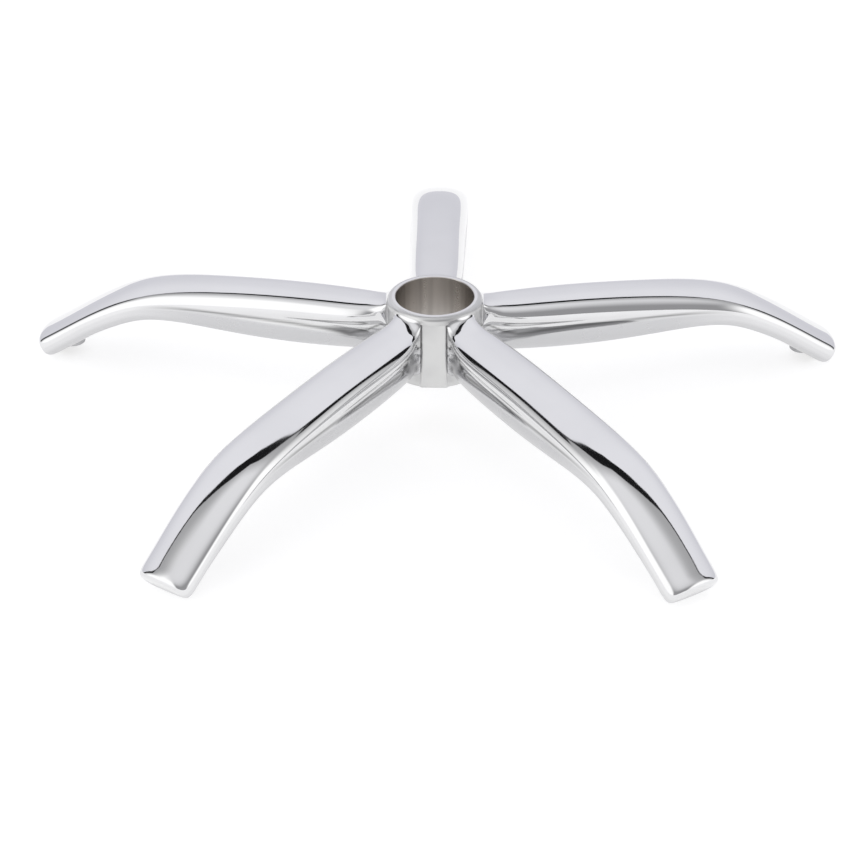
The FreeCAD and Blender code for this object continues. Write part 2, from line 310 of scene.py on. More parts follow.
@dataclass
class Arm:
    """One swan shaped arm, hollow from below, with ribs, a caster boss and a socket."""

    stations: tuple[Station, ...] = (
        Station(20.0, 82.0, 0.0, 35.0, 13.6, 7.8, 0.54, 0.36, 0.12, 3.0, 3.0),
        Station(31.0, 81.0, 0.0, 34.4, 14.2, 7.2, 0.54, 0.30, 0.12, 3.0, 3.0),
        Station(44.0, 79.9, 1.0, 34.8, 16.0, 5.6, 0.50, 0.18, 0.12, 3.0, 3.1),
        Station(64.0, 79.0, 2.5, 36.0, 17.6, 3.4, 0.46, 0.11, 0.12, 3.0, 3.05),
        Station(92.0, 77.5, 4.0, 36.2, 18.2, 2.2, 0.44, 0.085, 0.10, 3.2, 3.0),
        Station(122.0, 75.1, 5.5, 34.0, 18.6, 1.3, 0.44, 0.08, 0.05, 3.4, 2.8),
        Station(152.0, 71.8, 8.5, 29.4, 19.0, 0.4, 0.45, 0.08, 0.0, 3.6, 2.6),
        Station(180.0, 67.5, 14.0, 24.2, 19.3, 0.0, 0.46, 0.08, -0.03, 4.0, 2.4),
        Station(204.0, 60.8, 23.0, 20.8, 19.4, 0.0, 0.46, 0.08, -0.05, 4.2, 2.3),
        Station(226.0, 49.8, 30.0, 19.4, 19.4, 0.0, 0.46, 0.08, -0.05, 4.0, 2.3),
        Station(247.0, 36.0, 34.0, 18.6, 19.2, 0.0, 0.46, 0.08, -0.04, 3.6, 2.3),
    )
    nose_tilt: float = 35.5
    nose_half_width: float = 19.3
    nose_corner: float = 2.9
    nose_pinch: float = -0.02
    # Distance past the ankle, share of the half width, depth, sink of the top line
    nose: tuple[tuple[float, float, float, float], ...] = (
        (15.0, 0.990, 19.2, 0.0),
        (26.0, 0.985, 19.2, 0.0),
        (31.6, 0.965, 18.9, 0.1),
        (34.0, 0.920, 17.4, 0.7),
        (35.1, 0.840, 14.6, 1.8),
        (35.5, 0.700, 11.0, 3.2),
    )
    # The hollow: its roof and shoulders, the walls round it and the stations it spans
    core_roof: float = 0.62
    core_shoulder: float = 0.36
    roof_wall: float = 4.5
    side_wall: float = 4.2
    core_reach: float = 8.0
    core_from: int = 2
    core_to: int = 10
    core_rings: int = 70
    # The cast fillet at the hub: smaller below the fillet levels, longer and lower on the crown
    hub_wall_radius: float = 26.9
    root_fillet: float = 9.5
    bead_fillet: float = 4.0
    fillet_levels: Range = (0.35, 0.60)
    crown_run: float = 13.0
    crown_lift: float = 4.6
    crown_facing: float = 0.75
    wrap_reach: float = 62.0
    pad_side: float = 8.4
    pad_softness: float = 1.1
    pad_room: float = 7.0
    # Distance from the hub axis, share of the section's depth where the bead's painted shade and
    # rougher polish start
    bead_start: tuple[Range, ...] = (
        (27.0, 0.40),
        (34.0, 0.46),
        (42.0, 0.56),
        (52.0, 0.58),
        (68.0, 0.53),
        (92.0, 0.49),
        (150.0, 0.45),
    )
    bead_blend: float = 0.10
    # Distance from the hub axis, strength; for the underside the share of the depth, strength
    bead_fade: tuple[Range, Range] = ((160.0, 1.0), (218.5, 0.35))
    bead_below: tuple[Range, Range] = ((0.5, 0.0), (0.75, 0.85))
    # Fade and width of the painted dark line along the bead's upper edge
    shade_line_fade: tuple[Range, Range] = ((165.0, 1.0), (205.0, 0.0))
    shade_line_width: float = 0.028
    line_steps: int = 400
    rib_thickness: float = 3.0
    rib_recess: float = 5.0
    rib_edge: float = 0.7
    cross_ribs: tuple[float, ...] = (77.9, 118.1, 158.0, 198.0)
    rib_bite: float = 1.5
    boss_reach: float = 254.5
    boss_radius: float = 8.2
    boss_face: float = 8.0
    boss_depth: float = 9.0
    spotface_radius: float = 8.7
    socket_radius: float = 5.6
    socket_depth: float = 15.2
    bar_around: int = 72
    bar_edge: float = 0.5
    bar_below: float = 4.0
    # Points round a section, sections along the neck, the arm, the nose and its rounded tip
    around: int = 112
    outline_steps: int = 1440
    neck_reach: float = 50.0
    neck_rings: int = 42
    arm_rings: int = 74
    nose_rings: int = 14
    tip_rings: int = 14
    tip_station: int = -5
    end_shares: tuple[float, ...] = (0.82, 0.55, 0.25)
    shade_angle: float = 32.0
    finishes: Sequence[Material] = ()

    def table(self) -> tuple[np.ndarray, np.ndarray]:
        """Every station of the arm and nose.

        Returns:
            The place of each station along the top line, and its numbers.
        """
        rows = [list(station) for station in self.stations]
        ankle = self.stations[-1]
        slope = math.radians(self.nose_tilt)
        for along, share, depth, sink in self.nose:
            out = along * math.cos(slope) - sink * math.sin(slope)
            down = along * math.sin(slope) + sink * math.cos(slope)
            rows.append(
                [
                    ankle.reach + out,
                    ankle.height - down,
                    self.nose_tilt,
                    depth,
                    self.nose_half_width * share,
                    0.0,
                    ankle.groove_level,
                    ankle.groove_spread,
                    self.nose_pinch,
                    self.nose_corner,
                    ankle.crown,
                ]
            )
        values = np.array(rows)
        run = np.linalg.norm(np.diff(values[:, :2], axis=0), axis=1)
        return np.concatenate([[0.0], np.cumsum(run)]), values

    def outline(self, row: np.ndarray) -> np.ndarray:
        """Outline of the arm at one station.

        Args:
            row: The station's numbers.

        Returns:
            Points across and up in the section's plane, from the lowest point round.
        """
        depth, half_width, groove, level_at, spread, pinch, corner, crown = row[3:]
        angle = np.linspace(-math.pi / 2, 1.5 * math.pi, self.outline_steps + 1)
        power = np.where(np.sin(angle) >= 0, 2 / crown, 2 / corner)
        across = half_width * signed_power(np.cos(angle), power)
        up = -depth / 2 + depth / 2 * signed_power(np.sin(angle), power)
        level = -up / depth
        across *= 1 - pinch * level**2
        dip = groove * np.exp(-(((level - level_at) / spread) ** 2))
        across -= np.sign(across) * np.minimum(dip, np.abs(across))
        return even_steps(np.stack([across, up], axis=1), self.around)

    def place(self, row: np.ndarray, flat: np.ndarray) -> np.ndarray:
        """Stand a section up in the arm's own frame.

        Args:
            row: The station's numbers.
            flat: Points across and up in the section's plane.

        Returns:
            Points with the arm along +Y, in millimetres.
        """
        here = Station(*row)
        tilt = math.radians(here.tilt)
        reach = here.reach + flat[:, 1] * math.sin(tilt)
        level = here.height + PLAN.floor + flat[:, 1] * math.cos(tilt)
        return np.stack([flat[:, 0], reach, level], axis=1)

    def flare(self, row: np.ndarray, flat: np.ndarray) -> np.ndarray:
        """Stand a section near the hub up round the barrel, swollen by the cast fillet.

        Args:
            row: The station's numbers.
            flat: Points across and up in the section's plane.

        Returns:
            The ring's points with the arm along +Y.
        """
        here = Station(*row)
        along = np.roll(flat, -1, axis=0) - np.roll(flat, 1, axis=0)
        outward = np.stack([along[:, 1], -along[:, 0]], axis=1)
        outward /= np.linalg.norm(outward, axis=1)[:, None]
        below = np.interp(-flat[:, 1] / here.depth, self.fillet_levels, (0.0, 1.0))
        upward = ease(np.clip(outward[:, 1] / self.crown_facing, 0.0, 1.0))
        radius = self.root_fillet + (self.bead_fillet - self.root_fillet) * below
        run = radius + (self.crown_run - radius) * upward
        lift = radius + (self.crown_lift - radius) * upward
        wall = PLAN.barrel_radius + (PLAN.rim_radius - PLAN.barrel_radius) * upward
        short = np.clip(run - (here.reach - wall), 0.0, run) / run
        swell = lift * (1 - np.sqrt(np.maximum(1 - short**2, 0.0)))
        ring = self.place(row, flat + outward * swell[:, None])
        hold = np.interp(here.reach, (self.hub_wall_radius, self.wrap_reach), (1.0, 0.0))
        round_wall = np.sqrt(np.maximum(here.reach**2 - ring[:, 0] ** 2, 1.0))
        ring[:, 1] -= hold * (here.reach - round_wall)
        return self.beside_pads(ring)

    def beside_pads(self, ring: np.ndarray) -> np.ndarray:
        """Keep a ring's points off the flat pads at both sides of the arm.

        Args:
            ring: Points with the arm along +Y.

        Returns:
            The points, moved along the pads' faces where they would cover one.
        """
        turn = math.pi / PLAN.arm_count
        side = np.where(ring[:, 0] < 0, -1.0, 1.0)
        room = ring[:, 1] * math.sin(turn) - side * ring[:, 0] * math.cos(turn) - self.pad_side
        eased = self.pad_softness * np.log1p(np.exp(-room / self.pad_softness))
        push = np.where(room > self.pad_room, 0.0, eased)
        moved = ring.copy()
        moved[:, 0] -= side * push * math.cos(turn)
        moved[:, 1] += push * math.sin(turn)
        return moved

    def skin(self) -> Object:
        """Make the closed outer form of the arm from inside the hub's wall to the nose.

        Returns:
            The form as an object.
        """
        places, values = self.table()
        root = np.interp(self.hub_wall_radius, values[:, 0], places)
        neck = np.interp(self.neck_reach, values[:, 0], places)
        ankle = places[len(self.stations) - 1]
        tip = places[self.tip_station]
        wanted = np.concatenate(
            [
                np.linspace(root, neck, self.neck_rings, endpoint=False),
                np.linspace(neck, ankle, self.arm_rings, endpoint=False),
                np.linspace(ankle, tip, self.nose_rings, endpoint=False),
                np.linspace(tip, places[-1], self.tip_rings),
            ]
        )
        rows = natural_spline(places, values, wanted)
        rings = [self.flare(row, self.outline(row)) for row in rows]
        last = rings[-1]
        middle = last.mean(axis=0)
        for share in self.end_shares:
            rings.append(middle + (last - middle) * share)
        return ring_mesh("arm_skin", np.array(rings), self.finishes, Surface.POLISHED)

    def core_half_width(self, row: np.ndarray) -> float:
        """Half width of the hollow at one station, behind the side wall and the groove."""
        here = Station(*row)
        return here.half_width * (1 - here.pinch) - here.groove - self.side_wall

    def core_corners(self, half_width: float, top: float, low: float) -> np.ndarray:
        """Corners of the hollow across the arm: upright sides, sloping shoulders, flat roof.

        Args:
            half_width: Half width between the upright sides.
            top: Height of the roof in the section's plane.
            low: Height of the open side.

        Returns:
            The six corners in order.
        """
        roof = self.core_roof * half_width
        shoulder = top - self.core_shoulder * half_width
        right = np.array([(half_width, low), (half_width, shoulder), (roof, top)])
        return np.concatenate([right, right[::-1] * [-1, 1]])

    def hollow(self) -> Object:
        """Make the form that hollows the arm from below.

        Returns:
            The form as an object.
        """
        places, values = self.table()
        wanted = np.linspace(places[self.core_from], places[self.core_to], self.core_rings)
        rings = []
        for row in natural_spline(places, values, wanted):
            low = -Station(*row).depth - self.core_reach
            corners = self.core_corners(self.core_half_width(row), -self.roof_wall, low)
            rings.append(self.place(row, corners))
        return ring_mesh("arm_hollow", np.array(rings), self.finishes, Surface.AS_CAST)

    def round_bar(
        self, name: str, radius: float, low: float, high: float, surface: Surface
    ) -> Object:
        """An upright round tool at the caster's place.

        Args:
            name: Name of the mesh.
            radius: Radius in millimetres.
            low: Lower level in the frame.
            high: Upper level in the frame.
            surface: Finish that it leaves.

        Returns:
            The tool as an object.
        """
        edge = self.bar_edge
        profile = (
            (radius - edge, low),
            (radius, low + edge),
            (radius, high - edge),
            (radius - edge, high),
        )
        rings = turned_rings(profile, self.bar_around)
        rings[:, :, 1] += self.boss_reach
        return ring_mesh(name, rings, self.finishes, surface)

    def rib_plate(self, name: str, corners: np.ndarray, push: np.ndarray) -> Object:
        """A flat rib with softened edges.

        Args:
            name: Name of the mesh.
            corners: The rib's outline.
            push: Half of its thickness as a vector.

        Returns:
            The rib as an object.
        """
        sides = np.array([corners - push, corners + push])
        built = ring_mesh(name, sides, self.finishes, Surface.AS_CAST)
        bevel = built.modifiers.new("soft_edges", "BEVEL")
        bevel.width = self.rib_edge * MM
        bevel.segments = 2
        return built

    def ribs(self) -> Object:
        """Make the long rib and the cross ribs in the hollow.

        Returns:
            All ribs as one object.
        """
        places, values = self.table()
        top_line = []
        low_line = []
        for row in values[self.core_from : self.core_to + 1]:
            here = Station(*row)
            roof = here.height + PLAN.floor - self.roof_wall
            top_line.append([0.0, here.reach, roof + self.rib_bite])
            low = np.array([[0.0, self.rib_recess - here.depth]])
            low_line.append(self.place(row, low)[0])
        corners = np.array(top_line + low_line[::-1])
        plates = [self.rib_plate("long_rib", corners, np.array([self.rib_thickness / 2, 0, 0]))]
        for number, reach in enumerate(self.cross_ribs, 1):
            row = natural_spline(places, values, np.interp([reach], values[:, 0], places))[0]
            here = Station(*row)
            inner = self.core_half_width(row) + self.rib_bite
            low = self.rib_recess - here.depth
            flat = self.core_corners(inner, self.rib_bite - self.roof_wall, low)
            tilt = math.radians(here.tilt)
            push = np.array([0.0, math.cos(tilt), -math.sin(tilt)]) * self.rib_thickness / 2
            plates.append(self.rib_plate("cross_rib_%d" % number, self.place(row, flat), push))
        return join(plates, "arm_ribs")

    def mark_bead_shade(self, skin: Object) -> None:
        """Store where the skin's lower bead gets painted shade and a rougher polish, and the
        painted dark line above that.

        Args:
            skin: The finished arm skin.
        """
        places, values = self.table()
        wanted = np.linspace(places[0], places[-1], self.line_steps)
        line = Station(*natural_spline(places, values, wanted).T)
        points = np.empty(len(skin.data.vertices) * 3)
        skin.data.vertices.foreach_get("co", points)
        points = points.reshape(-1, 3) / MM
        tilt = np.radians(line.tilt)
        along_y = points[:, 1:2] - line.reach
        along_z = points[:, 2:3] - (line.height + PLAN.floor)
        forward = along_y * np.cos(tilt) - along_z * np.sin(tilt)
        nearest = np.abs(forward).argmin(axis=1)
        every = np.arange(len(points))
        up = along_y[every, nearest] * np.sin(tilt[nearest])
        up += along_z[every, nearest] * np.cos(tilt[nearest])
        level = -up / line.depth[nearest]
        reach = line.reach[nearest]
        start = np.interp(reach, *zip(*self.bead_start))
        # Mask of the painted shade on the lower bead, which also makes its polish rougher
        bead_dull_and_shade = ease(np.clip((level - start) / self.bead_blend, 0.0, 1.0))
        fade = np.interp(reach, *zip(*self.bead_fade))
        bead_dull_and_shade *= np.maximum(fade, np.interp(level, *zip(*self.bead_below)))
        # Painted dark line along the bead's upper edge, where the top bulb turns under
        shade_line = np.exp(-(((level - start) / self.shade_line_width) ** 2))
        shade_line *= np.interp(reach, *zip(*self.shade_line_fade))
        for name, value in (("bead_dull_and_shade", bead_dull_and_shade), ("shade_line", shade_line)):
            mark = skin.data.attributes.new(name, "FLOAT", "POINT")
            mark.data.foreach_set("value", value)

    def build(self) -> tuple[Object, Object]:
        """Make one finished arm along +Y.

        Returns:
            The arm's skin and its ribs.
        """
        skin = self.skin()
        combine(skin, self.hollow(), Cut.REMOVE)
        mouth = self.boss_face + PLAN.floor
        under = PLAN.floor - self.bar_below
        top = mouth + self.boss_depth
        end = mouth + self.socket_depth
        face = self.round_bar("spotface", self.spotface_radius, under, mouth, Surface.MACHINED)
        combine(skin, face, Cut.REMOVE)
        # The boss takes the darker cast skin as painted shade, standing in for the dark reflection
        # on its polished side
        boss = self.round_bar("boss", self.boss_radius, mouth, top, Surface.AS_CAST)
        combine(skin, boss, Cut.ADD)
        socket = self.round_bar("socket", self.socket_radius, under, end, Surface.MACHINED)
        combine(skin, socket, Cut.REMOVE)
        smooth_shade(skin, self.shade_angle)
        self.mark_bead_shade(skin)
        ribs = self.ribs()
        smooth_shade(ribs, self.shade_angle)
        return skin, ribs


def join(parts: Sequence[Object], name: str) -> Object:
    """Join evaluated meshes into one object and delete the originals.

    Args:
        parts: Objects that share the same list of materials.
        name: Name of the new object.

    Returns:
        The joined object.
    """
    depsgraph = bpy.context.evaluated_depsgraph_get()
    work = bmesh.new()
    for part in parts:
        mesh = bpy.data.meshes.new_from_object(part.evaluated_get(depsgraph), depsgraph=depsgraph)
        work.from_mesh(mesh)
        bpy.data.meshes.remove(mesh)
    joined = bpy.data.meshes.new(name)
    work.to_mesh(joined)
    work.free()
    for material in parts[0].data.materials:
        joined.materials.append(material)
    for part in parts:
        bpy.data.objects.remove(part)
    built = bpy.data.objects.new(name, joined)
    bpy.context.scene.collection.objects.link(built)
    return built


@dataclass
class Hub:
    """The turned middle of the casting: rim, barrel, foot ring, bore and flat pads."""

    bore_radius: float = 25.0
    mouth_edge: float = 0.4
    taper_ratio: float = 20.0
    foot_chamfer: float = 1.0
    rim_band: float = 5.5
    rim_round: float = 3.0
    rim_low_round: float = 0.5
    cove_height: float = 1.0
    cove_step: tuple[float, float] = (0.3, 0.25)
    foot_ring_radius: float = 29.15
    foot_ring_round: float = 0.7
    foot_ring_height: float = 4.0
    foot_ring_slope: float = 2.0
    pad_width: float = 16.5
    pad_distance: float = 29.2
    pad_round: float = 1.6
    pad_root: float = 4.0
    pad_side: tuple[float, float] = (0.9, 3.2)
    pad_gap: float = 0.25
    pad_bite: float = 0.4
    # Height over the pad's foot, share by which the pad is wider there
    pad_spread: tuple[tuple[float, float], ...] = (
        (0.0, 0.10),
        (1.2, 0.09),
        (2.4, 0.06),
        (3.8, 0.025),
        (5.5, 0.005),
        (7.0, 0.0),
    )
    pad_shade_angle: float = 40.0
    shade_angle: float = 28.0
    around: int = 256
    finishes: Sequence[Material] = ()

    def profile(self) -> list[tuple[float, float, Surface]]:
        """Work out the hub's closed profile.

        Returns:
            Radius and level of each point, and the finish of the face that starts there.
        """
        top = PLAN.top
        foot = PLAN.foot
        satin = Surface.SATIN
        cut = Surface.MACHINED
        rim_low = top - self.rim_band
        rim_inner = PLAN.rim_radius - self.rim_low_round
        crest = (PLAN.rim_radius - self.rim_round, top - self.rim_round)
        ring_top = foot + self.foot_ring_height
        ring_inner = self.foot_ring_radius - self.foot_ring_round
        ring_centre = (ring_inner, foot + self.foot_ring_round)
        bore_end = foot + self.foot_chamfer
        bore_foot = self.bore_radius + bore_end / (2 * self.taper_ratio)
        cove_out, cove_down = self.cove_step
        return [
            (bore_foot + self.foot_chamfer, foot, cut),
            (ring_inner, foot, satin),
            *arc(ring_centre, self.foot_ring_round, -80, 0, 4, satin),
            (self.foot_ring_radius, ring_top, satin),
            (PLAN.barrel_radius, ring_top + self.foot_ring_slope, satin),
            (PLAN.barrel_radius, rim_low - self.cove_height, satin),
            (PLAN.barrel_radius + cove_out, rim_low - cove_down, satin),
            (rim_inner, rim_low, satin),
            *arc((rim_inner, rim_low + self.rim_low_round), self.rim_low_round, -60, 0, 3, satin),
            *arc(crest, self.rim_round, 4, 90, 10, satin)[:-1],
            (crest[0], top, Surface.POLISHED),
            (self.bore_radius + self.mouth_edge, top, cut),
            (self.bore_radius, top - self.mouth_edge, cut),
            (self.bore_radius, PLAN.bore_land, cut),
            (self.bore_radius, 0.0, cut),
            (bore_foot, bore_end, cut),
        ]

    def turned(self) -> Object:
        """Turn the profile about the hub axis.

        Returns:
            The hub without its pads.
        """
        points = self.profile()
        rings = turned_rings([(r, z) for r, z, surface in points], self.around)
        built = ring_mesh("hub_skin", rings, self.finishes, Surface.POLISHED, closed=True)
        marks = [surface.value for r, z, surface in points for step in range(self.around)]
        built.data.polygons.foreach_set("material_index", marks)
        smooth_shade(built, self.shade_angle)
        return built

    def pad(self) -> Object:
        """Make a flat pad on the barrel, with rounded upright edges and a foot that runs out.

        Returns:
            The pad at +Y.
        """
        half = self.pad_width / 2
        out, inward = self.pad_side
        corner = (half - self.pad_round, self.pad_distance - self.pad_round)
        side = [
            (half + out, self.pad_distance - self.pad_root),
            (half + out, self.pad_distance - inward),
        ]
        side += [(x, y) for x, y, surface in arc(corner, self.pad_round, 0, 90, 7, Surface.SATIN)]
        section = np.array(side)
        section = np.concatenate([section, section[::-1] * [-1, 1]])
        foot = PLAN.foot + self.pad_gap
        levels = [(foot + rise, 1 + grow) for rise, grow in self.pad_spread]
        levels.append((PLAN.top - self.rim_band + self.pad_bite, 1.0))
        rings = [
            np.stack([section[:, 0] * grow, section[:, 1], np.full(len(section), z)], axis=1)
            for z, grow in levels
        ]
        built = ring_mesh("hub_pad", np.array(rings), self.finishes, Surface.SATIN)
        smooth_shade(built, self.pad_shade_angle)
        return built


def arc(
    centre: tuple[float, float],
    radius: float,
    start: float,
    end: float,
    steps: int,
    surface: Surface,
) -> list[tuple[float, float, Surface]]:
    """Points of a rounded edge in a profile.

    Args:
        centre: Centre of the round.
        radius: Its radius.
        start: First angle in degrees.
        end: Last angle in degrees.
        steps: How many points it has.
        surface: Finish of the faces on it.

    Returns:
        The points with their finish.
    """
    angles = np.radians(np.linspace(start, end, steps))
    return [
        (centre[0] + radius * math.cos(a), centre[1] + radius * math.sin(a), surface)
        for a in angles
    ]


class NodeKit:
    """Short calls for the nodes of a material, a world or a node group."""

    def __init__(self, tree: NodeTree) -> None:
        """Keep the tree that the calls add to."""
        self.tree = tree

    def add(self, kind: str, **settings: object) -> Node:
        """Add a node.

        Args:
            kind: Its type.
            settings: Its properties by name.

        Returns:
            The node.
        """
        node = self.tree.nodes.new(kind)
        for name, value in settings.items():
            setattr(node, name, value)
        return node

    def feed(self, socket: NodeSocket, value: object) -> None:
        """Set or link one input.

        Args:
            socket: The input.
            value: A socket to link, or a constant; a colour of three numbers gets its fourth.
        """
        if isinstance(value, NodeSocket):
            self.tree.links.new(value, socket)
        elif socket.type == "RGBA":
            socket.default_value = (*value, 1.0)
        else:
            socket.default_value = value

    def put(self, node: Node, **values: object) -> None:
        """Set or link a node's inputs; an underscore in a name stands for a blank."""
        for name, value in values.items():
            self.feed(node.inputs[name.replace("_", " ")], value)

    def math(self, operation: str, *values: object) -> NodeSocket:
        """Add a math node.

        Args:
            operation: What it does.
            values: Numbers or sockets.

        Returns:
            Its result.
        """
        node = self.add("ShaderNodeMath", operation=operation)
        for index, value in enumerate(values):
            self.feed(node.inputs[index], value)
        return node.outputs[0]

    def remap(
        self,
        value: NodeSocket,
        low: float,
        high: float,
        to_low: float = 0.0,
        to_high: float = 1.0,
        smooth: bool = True,
    ) -> NodeSocket:
        """Map a range of a value to another range, clamped.

        Args:
            value: The value.
            low: Start of its range.
            high: End of its range.
            to_low: Result at the start.
            to_high: Result at the end.
            smooth: True for a smooth step between them.

        Returns:
            The mapped value.
        """
        kind = "SMOOTHSTEP" if smooth else "LINEAR"
        node = self.add("ShaderNodeMapRange", interpolation_type=kind)
        self.put(node, Value=value, From_Min=low, From_Max=high, To_Min=to_low, To_Max=to_high)
        return node.outputs["Result"]

    def blend(self, share: object, first: object, second: object) -> NodeSocket:
        """Mix two colours.

        Args:
            share: Share of the second colour from 0 to 1.
            first: Colour at 0.
            second: Colour at 1.

        Returns:
            The mixed colour.
        """
        node = self.add("ShaderNodeMix", data_type="RGBA")
        for index, value in ((0, share), (6, first), (7, second)):
            self.feed(node.inputs[index], value)
        return node.outputs[2]


def surface_wear_group() -> NodeTree:
    """Make the masks of grain, scratches along the arm and clouding of the polish, which in the
    bore is stretched into streaks of painted highlight and shade.

    Returns:
        The node group.
    """
    scratch_run = (1.0, 0.04, 1.0)
    tree = bpy.data.node_groups.new("metal_marks", "ShaderNodeTree")
    faces = tree.interface
    for name, kind, value in (
        ("Grain Size", "NodeSocketFloat", 400.0),
        ("Scratch Size", "NodeSocketFloat", 900.0),
        ("Cloud Size", "NodeSocketFloat", 30.0),
        ("Cloud Stretch", "NodeSocketVector", (1.0, 1.0, 1.0)),
    ):
        faces.new_socket(name, in_out="INPUT", socket_type=kind).default_value = value
    for name in ("Grain", "Scratch", "Cloud"):
        faces.new_socket(name, in_out="OUTPUT", socket_type="NodeSocketFloat")
    kit = NodeKit(tree)
    inputs = kit.add("NodeGroupInput")
    outputs = kit.add("NodeGroupOutput")
    place = kit.add("ShaderNodeAttribute", attribute_name="made_at").outputs["Vector"]
    grain = kit.add("ShaderNodeTexNoise")
    kit.put(grain, Vector=place, Scale=inputs.outputs["Grain Size"], Detail=4.0, Roughness=0.6)
    stretch = kit.add("ShaderNodeMapping")
    kit.put(stretch, Vector=place, Scale=scratch_run)
    scratch = kit.add("ShaderNodeTexNoise")
    kit.put(scratch, Vector=stretch.outputs[0], Scale=inputs.outputs["Scratch Size"], Detail=3.0)
    drawn = kit.add("ShaderNodeVectorMath", operation="MULTIPLY")
    tree.links.new(place, drawn.inputs[0])
    tree.links.new(inputs.outputs["Cloud Stretch"], drawn.inputs[1])
    cloud = kit.add("ShaderNodeTexNoise")
    kit.put(cloud, Vector=drawn.outputs[0], Scale=inputs.outputs["Cloud Size"], Detail=2.0)
    for name, node in (("Grain", grain), ("Scratch", scratch), ("Cloud", cloud)):
        tree.links.new(node.outputs["Fac"], outputs.inputs[name])
    return tree


def turning_rings_group() -> NodeTree:
    """Make the mask of the fine rings that a tool leaves in a bore or on a turned face.

    Returns:
        The node group.
    """
    tree = bpy.data.node_groups.new("turning_rings", "ShaderNodeTree")
    faces = tree.interface
    faces.new_socket("Pitch", in_out="INPUT", socket_type="NodeSocketFloat").default_value = 0.0007
    faces.new_socket("Rings", in_out="OUTPUT", socket_type="NodeSocketFloat")
    kit = NodeKit(tree)
    inputs = kit.add("NodeGroupInput")
    outputs = kit.add("NodeGroupOutput")
    split = kit.add("ShaderNodeSeparateXYZ")
    kit.put(split, Vector=kit.add("ShaderNodeTexCoord").outputs["Object"])
    east, north, up = split.outputs
    squares = kit.math("ADD", kit.math("MULTIPLY", east, east), kit.math("MULTIPLY", north, north))
    path = kit.math("ADD", kit.math("SQRT", squares), up)
    turns = kit.math("DIVIDE", kit.math("MULTIPLY", path, 2 * math.pi), inputs.outputs["Pitch"])
    kit.put(outputs, Rings=kit.math("MULTIPLY_ADD", kit.math("SINE", turns), 0.5, 0.5))
    return tree


@dataclass(frozen=True)
class MetalFinish:
    """One finish of the casting's metal."""

    name: str
    color: Color
    dull_and_shade_color: Color
    roughness: Range
    grain_size: float
    grain_height: float
    scratch_height: float
    cloud_size: float = 30.0
    cloud_stretch: tuple[float, float, float] = (1.0, 1.0, 1.0)
    cloud_span: Range = (0.35, 0.68)
    scratch_share: float = 0.4
    wear_span: Range = (0.1, 0.8)
    ring_height: float = 0.0
    # Painted shade on the arm's lower bead, where the polish is also rougher
    bead_shade_color: Color | None = None
    bead_roughness: float = 0.22
    # Colour and strength of the painted dark line above the bead
    shade_line_color: Color = (0.12, 0.12, 0.12)
    shade_line_strength: float = 0.75
    relief: float = 0.0001

    def build(self, marks: NodeTree, rings: NodeTree) -> Material:
        """Make the material.

        Args:
            marks: Node group of grain, scratches and clouding.
            rings: Node group of turning rings.

        Returns:
            The material.
        """
        material = bpy.data.materials.new(self.name)
        material.use_nodes = True
        material.node_tree.nodes.clear()
        kit = NodeKit(material.node_tree)
        detail = kit.add("ShaderNodeGroup", node_tree=marks)
        kit.put(detail, Grain_Size=self.grain_size, Cloud_Size=self.cloud_size)
        kit.put(detail, Cloud_Stretch=self.cloud_stretch)
        cloud = kit.remap(detail.outputs["Cloud"], *self.cloud_span)
        color = kit.blend(cloud, self.color, self.dull_and_shade_color)
        clouded = kit.math("MULTIPLY", cloud, 1.0 - self.scratch_share)
        worn = kit.math("MULTIPLY_ADD", detail.outputs["Scratch"], self.scratch_share, clouded)
        rough = kit.remap(worn, *self.wear_span, *self.roughness, smooth=False)
        # Painted shade on the lower bead, where the polish also turns rougher
        if self.bead_shade_color is not None:
            bead_dull_and_shade = kit.add("ShaderNodeAttribute", attribute_name="bead_dull_and_shade").outputs["Fac"]
            color = kit.blend(bead_dull_and_shade, color, self.bead_shade_color)
            # Painted dark line along the bead's upper edge
            shade_line = kit.add("ShaderNodeAttribute", attribute_name="shade_line").outputs["Fac"]
            shade_line = kit.math("MULTIPLY", shade_line, self.shade_line_strength)
            color = kit.blend(shade_line, color, self.shade_line_color)
            rough = kit.math("MULTIPLY_ADD", bead_dull_and_shade, self.bead_roughness, rough)
        height = kit.math(
            "ADD",
            kit.math("MULTIPLY", detail.outputs["Grain"], self.grain_height),
            kit.math("MULTIPLY", detail.outputs["Scratch"], self.scratch_height),
        )
        if self.ring_height:
            turned = kit.add("ShaderNodeGroup", node_tree=rings).outputs["Rings"]
            height = kit.math("ADD", height, kit.math("MULTIPLY", turned, self.ring_height))
        bump = kit.add("ShaderNodeBump")
        kit.put(bump, Strength=1.0, Distance=self.relief, Height=height)
        shader = kit.add("ShaderNodeBsdfPrincipled")
        kit.put(shader, Base_Color=color, Metallic=1.0, Roughness=rough, Normal=bump.outputs[0])
        kit.put(kit.add("ShaderNodeOutputMaterial"), Surface=shader.outputs[0])
        return material


POLISH = MetalFinish(
    name="mirror_polish",
    color=(0.785, 0.785, 0.79),
    dull_and_shade_color=(0.765, 0.765, 0.77),
    roughness=(0.035, 0.085),
    grain_size=60.0,
    grain_height=0.05,
    scratch_height=0.03,
    cloud_size=22.0,
    # Painted shade on the lower bead
    bead_shade_color=(0.60, 0.60, 0.61),
)
AS_CAST = MetalFinish(
    name="cast_skin",
    color=(0.52, 0.52, 0.53),
    dull_and_shade_color=(0.40, 0.40, 0.41),
    roughness=(0.42, 0.62),
    grain_size=900.0,
    grain_height=0.9,
    scratch_height=0.0,
    cloud_size=45.0,
)
